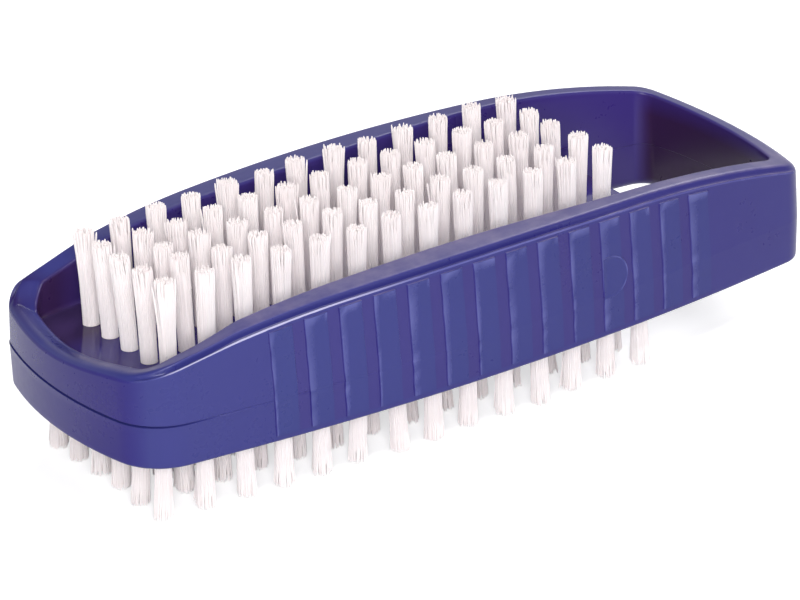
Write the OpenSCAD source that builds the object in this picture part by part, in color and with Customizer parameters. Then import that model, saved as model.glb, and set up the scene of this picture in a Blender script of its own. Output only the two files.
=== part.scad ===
// Double-sided nail brush. A bowed ring frame holds a bristle plate across
// most of its length and leaves an open finger slot at one end. White tufts
// stand on both faces of the plate, held by flat metal anchors.
// X runs along the brush from the plate end to the slot, Z points up, and
// the tips of the lower tufts stand on z = 0.

/* [View] */
// piece to show

/* [Frame] */
// overall length of the frame
body_length = 95.5; // [90:0.5:105]
// width of the frame across the middle, without the grip ribs
body_width = 37.2; // [34:0.1:42]
// how far the long sides bow out between the two ends
side_bow = 3.7; // [2.5:0.1:4.5]
// how far the two ends bow out between the long sides
end_bow = 3.8; // [2.5:0.1:4.5]
// radius of the outer corners seen from above
corner_radius = 3.5; // [3:0.1:5]
// radius of the inner corners seen from above
inner_corner_radius = 2.5; // [2:0.1:3.5]
// thickness of the frame wall
wall = 2.9; // [2.4:0.1:3.2]
// height of the frame from its lower rim to the parting line
lower_height = 5.25; // [4.75:0.05:6.5]
// height of the upper rim over the parting line at both ends
end_height = 5.9; // [5:0.1:7]
// extra height of the upper rim at the middle of the frame
arch_rise = 5; // [3.5:0.1:6]
// length of the flatter middle part of the upper rim
crown_length = 40; // [30:1:50]
// step inwards of the lower half under the parting line
parting_step = 0.13; // [0.05:0.01:0.3]

/* [Bristle plate] */
// thickness of the plate that carries the tufts
plate_thickness = 6.7; // [6.4:0.1:7.5]
// depth of the plate's lower face inside the lower rim
lower_recess = 0.95; // [0.5:0.05:1.5]
// length of the open finger slot, from the plate's end to the end wall
slot_length = 15.1; // [13:0.1:16]
// radius of the slot's corners at the plate's end
slot_radius = 3; // [2:0.1:4]

/* [Grip ribs] */
// number of flat ribs on each long side
rib_count = 14; // [8:1:14]
// distance from one rib to the next
rib_pitch = 4.43; // [3.6:0.01:4.6]
// width of one rib
rib_width = 2.9; // [1.8:0.1:3.2]
// height of a rib over the wall
rib_height = 0.3; // [0.2:0.05:0.6]
// distance from the upper rim to the top of the ribs
rib_top_gap = 0.9; // [0.6:0.1:1.5]
// distance from the lower rim to the foot of the ribs
rib_foot_gap = 0.95; // [0.6:0.05:1.5]
// diameter of the round moulding mark on the front side
mark_diameter = 4.8; // [3:0.1:6]
// place of the moulding mark along the front side
mark_place = 15.3; // [10:0.1:20]
// height of the moulding mark over the parting line
mark_height = 2.3; // [1:0.1:3]
// how far the moulding mark stands over the ribs
mark_relief = 0.08; // [0.02:0.01:0.2]

/* [Upper tufts] */
// number of rows on the upper face
upper_rows = 5; // [5:1:5]
// number of tufts in an upper row
upper_columns = 13; // [9:1:14]
// length of the upper tufts over the plate
upper_tuft_length = 11.6; // [9:0.1:14]
// distance from the end wall to the first upper tuft
upper_first_gap = 6.7; // [4:0.1:9]
// distance from the last upper tuft to the plate's end
upper_last_gap = 9.2; // [4:0.1:12]
// share of the inner width that the upper rows spread over
upper_spread_share = 0.61; // [0.56:0.01:0.7]

/* [Lower tufts] */
// number of rows on the lower face
lower_rows = 6; // [6:1:6]
// number of tufts in a lower row
lower_columns = 14; // [9:1:15]
// length of the lower tufts under the plate
lower_tuft_length = 9.1; // [7:0.1:12]
// distance from the end wall to the first lower tuft
lower_first_gap = 3.6; // [3.4:0.1:6]
// distance from the last lower tuft to the plate's end
lower_last_gap = 6.8; // [4:0.1:9]
// share of the inner width that the lower rows spread over
lower_spread_share = 0.87; // [0.8:0.01:0.88]

/* [Tufts] */
// diameter of a tuft where it leaves the plate
tuft_diameter = 1.9; // [1.6:0.05:2]
// diameter of a tuft at its tips
tip_diameter = 2.4; // [2:0.1:2.6]
// strands drawn in each tuft
strand_count = 3; // [2:1:3]
// difference in length between the strands
tip_unevenness = 0.5; // [0:0.1:1]
// how far a tuft leans at its tips
tuft_lean = 0.25; // [0:0.05:0.4]
// clearance between a tuft and its hole
hole_gap = 0.2; // [0.12:0.01:0.25]
// thickness of the plate's skin over the tuft roots
root_depth = 1; // [0.8:0.05:1.1]
// thickness of the root strip that joins one row's strands
root_thickness = 1.2; // [1:0.05:1.25]
// width of the root strip
root_width = 2.5; // [2.4:0.05:2.8]
// clearance between a root strip and its channel
root_gap = 0.05; // [0.02:0.01:0.1]

/* [Anchors] */
// width of a flat anchor across the row
anchor_width = 1.7; // [1.2:0.1:2.2]
// height of an anchor
anchor_height = 0.9; // [0.7:0.05:0.95]
// thickness of an anchor's flat wire
anchor_thickness = 0.3; // [0.2:0.05:0.5]

/* [Hidden] */
$fn = 64;
// sides drawn on the wide arcs of the frame
wide_sides = 1440;
// how far the corner arcs stand out past the wide arcs, so that they cross them
corner_ease = 0.02;
// overrun of the cuts
over = 0.5;
// length of a root strip past its end tufts
root_end = 1.6;
// share of the arch's rise that falls within the flatter middle part
crown_share = 0.074;
// a tuft hole has flat sides, this many
hole_sides = 8;
// section of one strand, as shares of the tuft's radius, and angles from its own middle
strand_share = [0.13, 0.86, 1, 0.86];
strand_angle = [0, -50, 0, 50];
// turn from one tuft to the next, and from one row to the next
column_turn = 37;
row_turn = 71;

body_blue = [0.29, 0.31, 0.58];
bristle_white = [0.95, 0.93, 0.92];
anchor_steel = [0.7, 0.7, 0.72];

// levels
plate_bottom_z = lower_tuft_length;
plate_top_z = plate_bottom_z + plate_thickness;
rim_bottom_z = plate_bottom_z - lower_recess;
parting_z = rim_bottom_z + lower_height;
middle_height = end_height + arch_rise;
top_z = plate_top_z + upper_tuft_length;
root_space = root_thickness + anchor_height;

// plan of the frame: two wide arcs along the sides, two over the ends
half_length = body_length / 2;
half_width = body_width / 2;
function arc_radius(half, bow) = (half * half + bow * bow) / (2 * bow);
side_radius = arc_radius(half_length, side_bow);
end_radius = arc_radius(half_width, end_bow);
side_centre = half_width - side_radius;
end_centre = half_length - end_radius;
slot_end = half_length - wall;
plate_end = slot_end - slot_length;

// y of the long side at x, this far inside the outer face
function side_y(x, inset) = sqrt(pow(side_radius - inset, 2) - x * x) + side_centre;

// centre of the corner arc that touches both wide arcs from inside
function corner_centre(inset, radius) =
    let (near = side_radius - inset - radius)
    let (far = end_radius - inset - radius)
    let (span = norm([end_centre, side_centre]))
    let (along = (near * near - far * far + span * span) / (2 * span))
    let (aside = sqrt(near * near - along * along))
    let (ux = end_centre / span)
    let (uy = -side_centre / span)
    [along * ux + aside * uy, side_centre + along * uy - aside * ux];

// where the corner arc meets the long side, and where it meets the end
function side_touch(inset, radius) =
    let (c = corner_centre(inset, radius))
    let (k = (side_radius - inset) / (side_radius - inset - radius))
    [c[0] * k, side_centre + (c[1] - side_centre) * k];
function end_touch(inset, radius) =
    let (c = corner_centre(inset, radius))
    let (k = (end_radius - inset) / (end_radius - inset - radius))
    [end_centre + (c[0] - end_centre) * k, c[1] * k];

// closed plan of the frame, this far inside its outer face
module outline(inset, radius) {
    side_x = side_touch(inset, radius)[0];
    end_y = end_touch(inset, radius)[1];
    corner = corner_centre(inset - corner_ease, radius);
    intersection() {
        translate([0, side_centre]) circle(r = side_radius - inset, $fn = wide_sides);
        translate([0, -side_centre]) circle(r = side_radius - inset, $fn = wide_sides);
        square([2 * side_x, 2 * side_radius], center = true);
    }
    for (mx = [0, 1])
        mirror([mx, 0, 0]) {
            intersection() {
                translate([end_centre, 0]) circle(r = end_radius - inset, $fn = wide_sides);
                translate([0, -end_y]) square([body_length, 2 * end_y]);
            }
            for (my = [-1, 1])
                translate([corner[0], my * corner[1]]) circle(r = radius);
        }
}

// plan of the open slot: inside the frame, past the plate's rounded end
module slot_plan() {
    cx = plate_end + slot_radius;
    cy = side_y(cx, wall + slot_radius);
    k = (side_radius - wall) / (side_radius - wall - slot_radius);
    meet = cx * k;
    intersection() {
        outline(wall, inner_corner_radius);
        translate([meet, -half_width]) square([half_length - meet, body_width]);
    }
    translate([plate_end, -cy]) square([meet - plate_end + over, 2 * cy]);
    for (my = [-1, 1])
        translate([cx, my * cy]) circle(r = slot_radius);
}

// side view of the upper rim: a flatter arc in the middle, a tighter one to each end
crown_x = crown_length / 2;
crown_drop = arch_rise * crown_share;
crown_radius = arc_radius(crown_x, crown_drop);
crown_slope = asin(crown_x / crown_radius);
shoulder_x = half_length - crown_x;
shoulder_drop = arch_rise - crown_drop;
shoulder_fall = shoulder_drop * cos(crown_slope) - shoulder_x * sin(crown_slope);
shoulder_chord = norm([shoulder_x, shoulder_drop]);
shoulder_radius = shoulder_chord * shoulder_chord / (2 * shoulder_fall);
module arch(drop) {
    foot = -lower_height;
    translate([0, -drop]) {
        intersection() {
            translate([0, middle_height - crown_radius])
                circle(r = crown_radius, $fn = wide_sides);
            translate([-crown_x, foot]) square([crown_length, middle_height - foot + over]);
        }
        for (mx = [0, 1])
            mirror([mx, 0, 0])
                intersection() {
                    translate([crown_x, middle_height - crown_drop])
                        rotate(-crown_slope)
                            translate([0, -shoulder_radius])
                                circle(r = shoulder_radius, $fn = wide_sides);
                    translate([crown_x, foot]) square([shoulder_x + over, middle_height - foot]);
                }
    }
}
module under_rim(drop) {
    translate([0, 0, parting_z])
        rotate([90, 0, 0])
            linear_extrude(height = 2 * body_width, center = true)
                arch(drop);
}

// the ring frame, solid for now, in its upper and lower halves
module upper_half() {
    intersection() {
        translate([0, 0, parting_z])
            linear_extrude(height = middle_height + over)
                outline(0, corner_radius);
        under_rim(0);
    }
}
module lower_half() {
    translate([0, 0, rim_bottom_z])
        linear_extrude(height = lower_height)
            outline(parting_step, corner_radius - parting_step);
}

// flat ribs along both sides, their tops parallel to the arched rim
module grip_ribs() {
    first = -(rib_count - 1) * rib_pitch / 2 - rib_width / 2;
    foot = rim_bottom_z + rib_foot_gap;
    intersection() {
        translate([0, 0, foot])
            linear_extrude(height = parting_z + middle_height - foot)
                intersection() {
                    outline(-rib_height, corner_radius + rib_height);
                    for (i = [0 : rib_count - 1])
                        translate([first + i * rib_pitch, -body_width])
                            square([rib_width, 2 * body_width]);
                }
        under_rim(rib_top_gap);
    }
}
module moulding_mark() {
    proud = rib_height + mark_relief;
    low = parting_z + mark_height;
    intersection() {
        translate([mark_place, 0, low])
            rotate([90, 0, 0])
                cylinder(d = mark_diameter, h = body_width);
        translate([0, 0, low - mark_diameter])
            linear_extrude(height = 2 * mark_diameter)
                outline(-proud, corner_radius + proud);
    }
}

// tuft places: columns along the plate, rows that follow the bowed sides
function is_upper(side) = side == "upper";
function columns(side) = is_upper(side) ? upper_columns : lower_columns;
function rows(side) = is_upper(side) ? upper_rows : lower_rows;
function spread(side) = is_upper(side) ? upper_spread_share : lower_spread_share;
function first_x(side) = (is_upper(side) ? upper_first_gap : lower_first_gap) - slot_end;
function last_x(side) = plate_end - (is_upper(side) ? upper_last_gap : lower_last_gap);
function column_x(side, i) =
    first_x(side) + (last_x(side) - first_x(side)) * i / (columns(side) - 1);
function row_y(side, x, j) = side_y(x, wall) * spread(side) * (2 * j / (rows(side) - 1) - 1);
function spot(side, i, j) = [column_x(side, i), row_y(side, column_x(side, i), j)];

// levels of one side's roots: face of the plate, top and foot of the strip
function up(side) = is_upper(side) ? 1 : -1;
function face_z(side) = is_upper(side) ? plate_top_z : plate_bottom_z;
function strip_z(side) = face_z(side) - up(side) * root_depth;
function strip_foot_z(side) = strip_z(side) - up(side) * root_thickness;
function floor_z(side) = strip_foot_z(side) - up(side) * anchor_height;

// plan of a row's root strip, widened by a gap for its channel
module strip_plan(side, j, gap) {
    n = columns(side);
    half = root_width / 2 + gap;
    reach = root_end + gap;
    start = spot(side, 0, j) - [reach, 0];
    stop = spot(side, n - 1, j) + [reach, 0];
    line = concat([start], [for (i = [1 : n - 2]) spot(side, i, j)], [stop]);
    back = [for (i = [n - 1 : -1 : 0]) line[i] + [0, half]];
    polygon(concat([for (p = line) p - [0, half]], back));
}

// channels and holes of one row, cut out of the plate
module row_cut(side, j) {
    low = min(floor_z(side), strip_z(side));
    translate([0, 0, low])
        linear_extrude(height = root_space)
            strip_plan(side, j, root_gap);
    hole = tuft_diameter + 2 * hole_gap;
    hole_low = min(strip_z(side) - up(side) * over, face_z(side) + up(side) * over);
    for (i = [0 : columns(side) - 1])
        translate(concat(spot(side, i, j), hole_low))
            rotate(180 / hole_sides)
                cylinder(d = hole, h = root_depth + 2 * over, $fn = hole_sides);
}

// the tray over the plate, and the shallow recess under it
module tray() {
    translate([0, 0, plate_top_z])
        linear_extrude(height = parting_z + middle_height - plate_top_z + over)
            outline(wall, inner_corner_radius);
}
module recess() {
    translate([0, 0, rim_bottom_z - over])
        linear_extrude(height = lower_recess + over)
            outline(wall, inner_corner_radius);
}
module finger_slot() {
    translate([0, 0, rim_bottom_z - over])
        linear_extrude(height = plate_top_z - rim_bottom_z + 2 * over)
            slot_plan();
}

module brush_body() {
    color(body_blue)
        difference() {
            union() {
                upper_half();
                lower_half();
                grip_ribs();
                moulding_mark();
            }
            tray();
            recess();
            finger_slot();
            for (j = [0 : upper_rows - 1]) row_cut("upper", j);
            for (j = [0 : lower_rows - 1]) row_cut("lower", j);
        }
}

// steady scatter between -1 and 1, a different value for each number
function scatter(n) = sin(137.5 * n + 41 * sin(61 * n));

// one strand: four flat sides that widen from the root strip to the tip
strand_faces = [
    [0, 1, 2], [0, 2, 3], [4, 6, 5], [4, 7, 6],
    [0, 5, 1], [0, 4, 5], [1, 6, 2], [1, 5, 6],
    [2, 7, 3], [2, 6, 7], [3, 4, 0], [3, 7, 4]
];
flipped_faces = [for (f = strand_faces) [f[0], f[2], f[1]]];
function strand_ring(centre, radius, turn, z) =
    [for (k = [0 : 3])
        let (a = turn + strand_angle[k])
        let (r = radius * strand_share[k])
        [centre[0] + r * cos(a), centre[1] + r * sin(a), z]];
module strand(side, i, j, k) {
    n = k + strand_count * (i + columns(side) * j);
    tuft = i + columns(side) * j + 1;
    turn = 360 * k / strand_count + column_turn * i + row_turn * j;
    root = spot(side, i, j);
    lean = tuft_lean * [scatter(tuft), scatter(tuft + 0.5)];
    short = tip_unevenness * max(0, scatter(n + 0.25));
    tip_z = is_upper(side) ? top_z - short : short;
    low = strand_ring(root, tuft_diameter / 2, turn, strip_z(side));
    high = strand_ring(root + lean, tip_diameter / 2, turn, tip_z);
    polyhedron(
        points = concat(low, high),
        faces = is_upper(side) ? strand_faces : flipped_faces
    );
}
module tuft_row(side, j) {
    color(bristle_white)
        union() {
            translate([0, 0, min(strip_z(side), strip_foot_z(side))])
                linear_extrude(height = root_thickness)
                    strip_plan(side, j, 0);
            for (i = [0 : columns(side) - 1], k = [0 : strand_count - 1])
                strand(side, i, j, k);
        }
}

// flat anchors on the channel's floor, one under each tuft
module anchor_row(side, j) {
    color(anchor_steel)
        for (i = [0 : columns(side) - 1])
            translate(concat(spot(side, i, j), min(floor_z(side), strip_foot_z(side))))
                translate([-anchor_thickness / 2, -anchor_width / 2, 0])
                    cube([anchor_thickness, anchor_width, anchor_height]);
}

brush_body();
for (j = [0 : upper_rows - 1]) {
    tuft_row("upper", j);
    anchor_row("upper", j);
}
for (j = [0 : lower_rows - 1]) {
    tuft_row("lower", j);
    anchor_row("lower", j);
}
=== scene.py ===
import math

import bmesh
import bpy
import numpy as np
from mathutils import Matrix, Vector
from mathutils.geometry import delaunay_2d_cdt

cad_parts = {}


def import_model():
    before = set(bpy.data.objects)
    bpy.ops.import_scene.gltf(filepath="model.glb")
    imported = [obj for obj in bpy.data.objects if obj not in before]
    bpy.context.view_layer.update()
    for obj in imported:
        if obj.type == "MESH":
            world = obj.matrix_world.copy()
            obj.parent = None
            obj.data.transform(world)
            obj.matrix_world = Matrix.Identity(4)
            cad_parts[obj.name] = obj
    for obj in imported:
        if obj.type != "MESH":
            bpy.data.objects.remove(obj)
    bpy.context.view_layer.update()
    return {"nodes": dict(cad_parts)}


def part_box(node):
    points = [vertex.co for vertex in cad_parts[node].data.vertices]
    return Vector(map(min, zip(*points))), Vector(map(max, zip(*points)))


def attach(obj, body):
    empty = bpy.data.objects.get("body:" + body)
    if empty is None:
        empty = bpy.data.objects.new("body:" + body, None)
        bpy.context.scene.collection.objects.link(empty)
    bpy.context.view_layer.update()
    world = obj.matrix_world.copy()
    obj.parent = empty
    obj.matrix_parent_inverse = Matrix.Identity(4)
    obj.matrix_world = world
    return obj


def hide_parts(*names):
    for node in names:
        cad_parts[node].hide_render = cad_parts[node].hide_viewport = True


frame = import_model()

MM = 0.001

# driving dimensions in millimetres; the frame's box gives the outer ones
BODY_LOW, BODY_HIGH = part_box("brush_body")
RIB_HEIGHT = 0.3
HALF_LENGTH = BODY_HIGH.x / MM
HALF_WIDTH = BODY_HIGH.y / MM - RIB_HEIGHT
RIM_FOOT = BODY_LOW.z / MM
CROWN = BODY_HIGH.z / MM
SIDE_BOW, END_BOW = 3.7, 3.8
CORNER = 3.5
WALL = 2.9
LOWER_HEIGHT = 5.25
ARCH_RISE = 5.0
CROWN_HALF = 20.0
CROWN_SHARE = 0.074
PLATE_THICKNESS = 6.7
RECESS = 0.95
SLOT_LENGTH = 15.1
SLOT_RADIUS = 3.0
PARTING = RIM_FOOT + LOWER_HEIGHT
PLATE_LOW = RIM_FOOT + RECESS
PLATE_TOP = PLATE_LOW + PLATE_THICKNESS
SLOT_END = HALF_LENGTH - WALL
PLATE_END = SLOT_END - SLOT_LENGTH

# grip ribs and the round moulding mark
RIB_COUNT = 14
RIB_PITCH = 4.43
RIB_WIDTH = 2.9
RIB_TOP_GAP = 1.25
RIB_FOOT_GAP = 0.8
MARK_RADIUS = 2.5
MARK_X = 15.1
MARK_Z = PARTING + 2.3
MARK_PROUD = 0.012
MARK_CUT = 0.14
# rows of the mark's disc: how far inside its radius, and how deep below its face
MARK_SHAPE = ((-0.1, 0.75), (-0.1, 0.08), (-0.05, -0.02), (0.05, -0.02), (0.12, 0), (0.5, 0),
              (1.0, 0))
MARK_TURNS, MARK_CUT_STEPS = 60, 16

# ribs and edges of the moulding: relief, tilt, waver and the rows and columns at an edge
RIB_RELIEF = 0.15
RIB_TILT = 0.034
EDGE_WAVER = 0.05
EDGE_HALF = 0.045
EDGE_GUARD = 0.11
EDGE_SHARES = ((-EDGE_GUARD, 0), (-EDGE_HALF, 0), (EDGE_HALF, 1), (EDGE_GUARD, 1))

# draft, parting and seam of the walls; a pair is where a form starts and stops to fade
UPPER_DRAFT = 0.30
LOWER_DRAFT = 0.15
SEAM_PROUD = 0.035
SEAM_TOP = 0.3
PART_STEP = 0.06
END_PROUD = 0.07
END_GROOVE = 0.30
SIDE_GROOVE = 0.07
RIB_COVER = 0.6
PARTING_CLEAR = (-45.5, -36)
PARTING_FADE = (-38, 4)
WALL_LEVELS = (PARTING - 3.2, PARTING - 2.1, PARTING - 1.0)
WALL_SHARES = (0.12, 0.3, 0.5, 0.7, 0.88)

# rim: ledge and cove under its band, round edge at the ends, inner edge
LEDGE_DROP = 0.88
LEDGE_BEVEL = 0.13
# places on the ledge: inset, drop past LEDGE_DROP
LEDGE_SHAPE = ((0, 0), (LEDGE_BEVEL, -LEDGE_BEVEL), (LEDGE_BEVEL + 0.07, 0.02 - LEDGE_BEVEL))
LEDGE_GAP = 0.05
LEDGE_FADE, LEDGE_FADE_LENGTH = 0.5, 30
# where the front ledge's edge gets a painted highlight line
LEDGE_BRIGHT = (-26, -8)
LEDGE_BRIGHT_START, LEDGE_BRIGHT_LENGTH = -44.5, 2.5
COVE_INSET = 0.74
COVE_DROP = 1.0
# places in the cove: inset past COVE_INSET, drop past COVE_DROP
COVE_SHAPE = ((-0.36, -0.05), (-0.16, 0), (-0.04, -0.12), (0, -0.3))
BAND_START = COVE_INSET - 0.03
BAND_EDGE = 0.12
BAND_ROUND = 0.24
BAND_SHARES = (0.33, 0.67)
BAND_WIDEN, WIDEN_X, WIDEN_LENGTH = 1.5, -6, 40
END_ROUND = 1.4
END_DROP = 1.0
RIM_RADIUS = 3.8
PLATE_CORNER = 7.0
ROUNDER_X, ROUNDER_X_FADE = -33, 8
ROUNDER_Y, ROUNDER_Y_FADE = 5, 10

# dip of the rim at the plate's end: outer and inner depth, then shares of them
DIP_OUTER = 1.35
DIP_INNER = 2.9
DIP_FRONT = 0.25
DIP_SIDE = 0.06
DIP_PLACE = 0.35
DIP_FADE = (1, 9)

# inner face, plate and slot: insets, levels, fillets and how far these take to fade
INNER = 3.05
INNER_RADIUS = 2.35
INNER_STEP = 0.08
INNER_SEAM = PARTING + 0.5
INNER_FILLET = 0.42
FACE_SHARES = (0.1, 0.4, 0.7, 1.0)
FOOT_FILLET = 0.4
RIM_FILLET_FOOT = 0.42
SLOT_FOOT_FILLET = 1.3
FOOT_START = 0.57
FOOT_RAISE = 1.02
PLATE_FILLET = 0.6
RECESS_FILLET = 0.3
FILLET_START = 0.75
PLATE_EDGE = 0.35
SLOT_LOW = 0.75
STEP_FADE = 3
SLOT_FADE = 4
# heights on the slot's faces, and whether the inner step has begun there
SLOT_LEVELS = ((PARTING + 1.2, 0), (INNER_SEAM + 0.05, 0), (INNER_SEAM - 0.05, 1),
               (PARTING - 1.0, 1), (PARTING - 2.5, 1))

# how finely the moulding is divided
FILLET_STEPS, EDGE_STEPS = 6, 5
SIDE_STEPS, END_STEPS, CORNER_STEPS = 84, 60, 18
SLOT_CORNER_STEPS, SLOT_END_STEPS = 14, 24
COLUMN_GAP = 0.3
SOCKET_SIDES = 24

# tufts
TIP_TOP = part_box("upper_tuft_row_3")[1].z / MM
TIP_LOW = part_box("lower_tuft_row_3")[0].z / MM
UPPER = dict(rows=5, columns=13, first=6.7, last=9.2, spread=0.61)
LOWER = dict(rows=6, columns=14, first=3.6, last=6.8, spread=0.87)
SOCKET_RADIUS = 1.0
SOCKET_LIP = 0.08
SOCKET_DEPTH = 1.5
# rings of a socket: radius and depth
SOCKET_SHAPE = ((SOCKET_RADIUS + SOCKET_LIP, 0), (SOCKET_RADIUS + SOCKET_LIP * 0.3, 0.03),
                (SOCKET_RADIUS, SOCKET_LIP), (SOCKET_RADIUS, SOCKET_DEPTH))
TIP_FLARE = 1.22
FILAMENT_RADIUS = 0.115
RING, RING_RADIUS = 26, 0.84
INNER_FILAMENTS = 40
CORE_RADIUS = 0.86
ROOT_DEPTH = 1.1
TUFT_LEAN, FIRST_LEAN = 0.3, 0.35
TUFT_SHORT = 0.35
FILAMENT_SIDES, CORE_SIDES = 5, 20
TUBE_SHARP = 60
# levels are shares of a filament's length, from its foot to its tip
CORE_LEVELS = (0, 0.2, 0.4, 0.6, 0.76, 0.84, 0.88)
CORE_SIZES = (1, 1, 1, 1, 1, 0.93, 0.6)
RING_LEVELS = (0, 0.25, 0.5, 0.75, 0.9, 0.975, 1)
TIP_LEVELS = (0.6, 0.8, 0.92, 0.98, 1)
TIP_SIZES = (0.92, 0.5)
# unevenness of the filaments: spreads of normal draws, then shares and ranges of rare ones
RING_NOISE, TURN_NOISE, SHORT_NOISE, OUT_NOISE, BEND_NOISE = 0.012, 0.05, 0.11, 0.07, 0.012
CUT_SHARE, CUT_RANGE = 0.10, (0.2, 0.8)
STRAY_SHARE, STRAY_RANGE = 0.05, (0.15, 0.5)
GOLDEN = math.pi * (3 - math.sqrt(5))
SEED, UPPER_SEED = 11, 40

# light and camera, in metres and degrees
FLOOR_SIZE = 6
FLOOR_LIFT = 0.6
SKY_LOW, SKY_HIGH, SKY_STRIP = 0.60, 0.12, 0.6
AIM_HEIGHT = 0.015
LAMP_DISTANCE = 0.9
# name, azimuth, elevation, width, height, power
LAMPS = (("key", -122, 24, 0.45, 0.45, 5.6), ("back", 30, 45, 0.50, 0.50, 4.2),
         ("strip", -84, 56.5, 0.5, 0.12, 2.2), ("left", -178, 35, 0.16, 0.16, 0.3))
CAMERA_PLACE = Vector((-0.3370031, -0.50065719, 0.30145908))
CAMERA_RIGHT = Vector((0.8225301, -0.56797166, -0.02919653))
CAMERA_DOWN = Vector((-0.2685775, -0.34267389, -0.90024482))
CAMERA_AHEAD = Vector((0.50130865, 0.74831999, -0.43440399))
CAMERA_SENSOR, CAMERA_LENS, CAMERA_CLIP = 36, 261.0587, 20


def arc_radius(half, bow):
    """Radius of an arc that spans twice half and bows out by bow."""
    return (half * half + bow * bow) / (2 * bow)


SIDE_RADIUS = arc_radius(HALF_LENGTH, SIDE_BOW)
END_RADIUS = arc_radius(HALF_WIDTH, END_BOW)
SIDE_CENTRE = HALF_WIDTH - SIDE_RADIUS
END_CENTRE = HALF_LENGTH - END_RADIUS


def side_y(x, inset):
    """Half the plan's width at this place, between its long sides."""
    return np.sqrt((SIDE_RADIUS - inset) ** 2 - np.square(x)) + SIDE_CENTRE


def rim_z(x):
    """Height of the upper rim: a flatter arc in the middle, a tighter one to each end."""
    drop = ARCH_RISE * CROWN_SHARE
    radius = arc_radius(CROWN_HALF, drop)
    slope = math.asin(CROWN_HALF / radius)
    run, fall = HALF_LENGTH - CROWN_HALF, ARCH_RISE - drop
    net = fall * math.cos(slope) - run * math.sin(slope)
    shoulder = (run * run + fall * fall) / (2 * net)
    x = np.abs(x)
    middle = CROWN - radius + np.sqrt(radius * radius - np.square(np.minimum(x, CROWN_HALF)))
    cx = CROWN_HALF - shoulder * math.sin(slope)
    cz = CROWN - drop - shoulder * math.cos(slope)
    outer = cz + np.sqrt(shoulder * shoulder - np.square(x - cx))
    return np.where(x <= CROWN_HALF, middle, outer)


def corner_centre(inset, radius):
    """Centre of the corner arc that touches the long side and the end from within."""
    near = SIDE_RADIUS - inset - radius
    far = END_RADIUS - inset - radius
    span = math.hypot(END_CENTRE, SIDE_CENTRE)
    along = (near * near - far * far + span * span) / (2 * span)
    aside = math.sqrt(near * near - along * along)
    ux, uy = END_CENTRE / span, -SIDE_CENTRE / span
    return along * ux + aside * uy, SIDE_CENTRE + along * uy - aside * ux


def touches(inset, radius):
    """Where a corner arc meets the long side, and where it meets the end."""
    cx, cy = corner_centre(inset, radius)
    k = (SIDE_RADIUS - inset) / (SIDE_RADIUS - inset - radius)
    m = (END_RADIUS - inset) / (END_RADIUS - inset - radius)
    side = (cx * k, SIDE_CENTRE + (cy - SIDE_CENTRE) * k)
    end = (END_CENTRE + (cx - END_CENTRE) * m, cy * m)
    return side, end


def plan(columns, inset, radius):
    """Points and outward normals of the closed plan at this inset, one for each column.

    A column is a place on the plan: its part and its share of that part. Parts run
    counterclockwise: 0 front side, 1 corner, 2 slot end, 3 corner, 4 back side, 5 corner,
    6 plate end, 7 corner.
    """
    (sx, sy), (ex, ey) = touches(inset, radius)
    cx, cy = corner_centre(inset, radius)
    low = math.atan2(sy - cy, sx - cx)
    high = math.atan2(ey - cy, ex - cx)
    points, normals = [], []
    for part, share in columns:
        if part in (0, 4):
            x = sx * (2 * share - 1)
            y = -float(side_y(x, inset))
            n = np.array([x, y + SIDE_CENTRE]) / (SIDE_RADIUS - inset)
            p = np.array([x, y])
        elif part in (2, 6):
            y = ey * (2 * share - 1)
            x = END_CENTRE + math.sqrt((END_RADIUS - inset) ** 2 - y * y)
            n = np.array([x - END_CENTRE, y]) / (END_RADIUS - inset)
            p = np.array([x, y])
        else:
            turned = share if part in (1, 5) else 1 - share
            a = low + (high - low) * turned
            n = np.array([math.cos(a), -math.sin(a)])
            p = np.array([cx, -cy]) + radius * n
            if part in (3, 7):
                p, n = p * [1, -1], n * [1, -1]
        if part in (4, 5, 6, 7):
            p, n = -p, -n
        points.append(p)
        normals.append(n)
    return np.array(points), np.array(normals)


def smooth_step(t):
    """0 until t is 0, 1 once it is 1, and smooth between."""
    t = np.clip(t, 0, 1)
    return t * t * (3 - 2 * t)


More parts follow.
